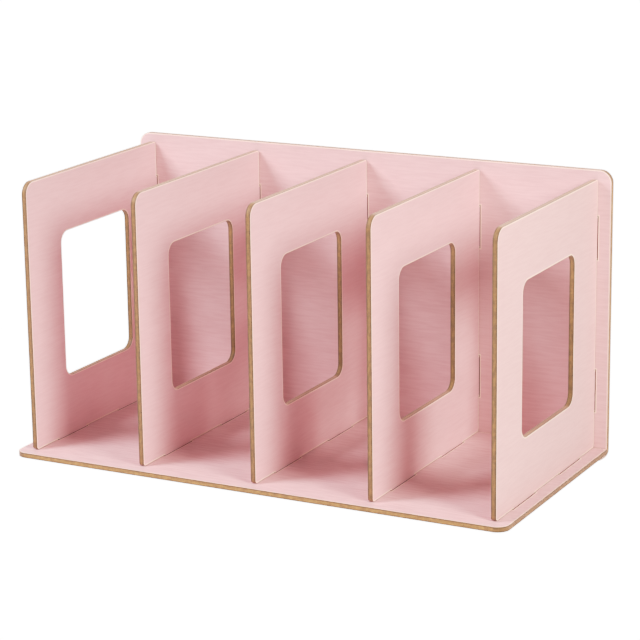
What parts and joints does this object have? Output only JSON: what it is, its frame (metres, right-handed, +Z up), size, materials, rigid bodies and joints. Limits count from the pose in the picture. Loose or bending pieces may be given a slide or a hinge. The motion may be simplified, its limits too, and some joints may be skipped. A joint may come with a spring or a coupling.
{
  "type": "desktop book rack",
  "caption": "Flat-pack desktop rack: upright dividers with rounded windows slot into a flat base and a back, forming open compartments for books and folders.",
  "frame": {"origin": "on the desk, midway between the rack's left and right ends and midway between the base's front edge and the back's rear face", "axes": "+X to the right seen from the front, +Y towards the back, +Z up"},
  "size_m": [0.3412, 0.168, 0.1889],
  "materials": {
    "pink_laminated_board": "pale pink satin laminate with a faint wood grain on both faces, bare tan density board at the cut edges"
  },
  "bodies": {
    "root": {"base_panel": "pink_laminated_board", "back_panel": "pink_laminated_board", "divider_1": "pink_laminated_board", "divider_2": "pink_laminated_board", "divider_3": "pink_laminated_board", "divider_4": "pink_laminated_board", "divider_5": "pink_laminated_board"}
  },
  "joints": []
}
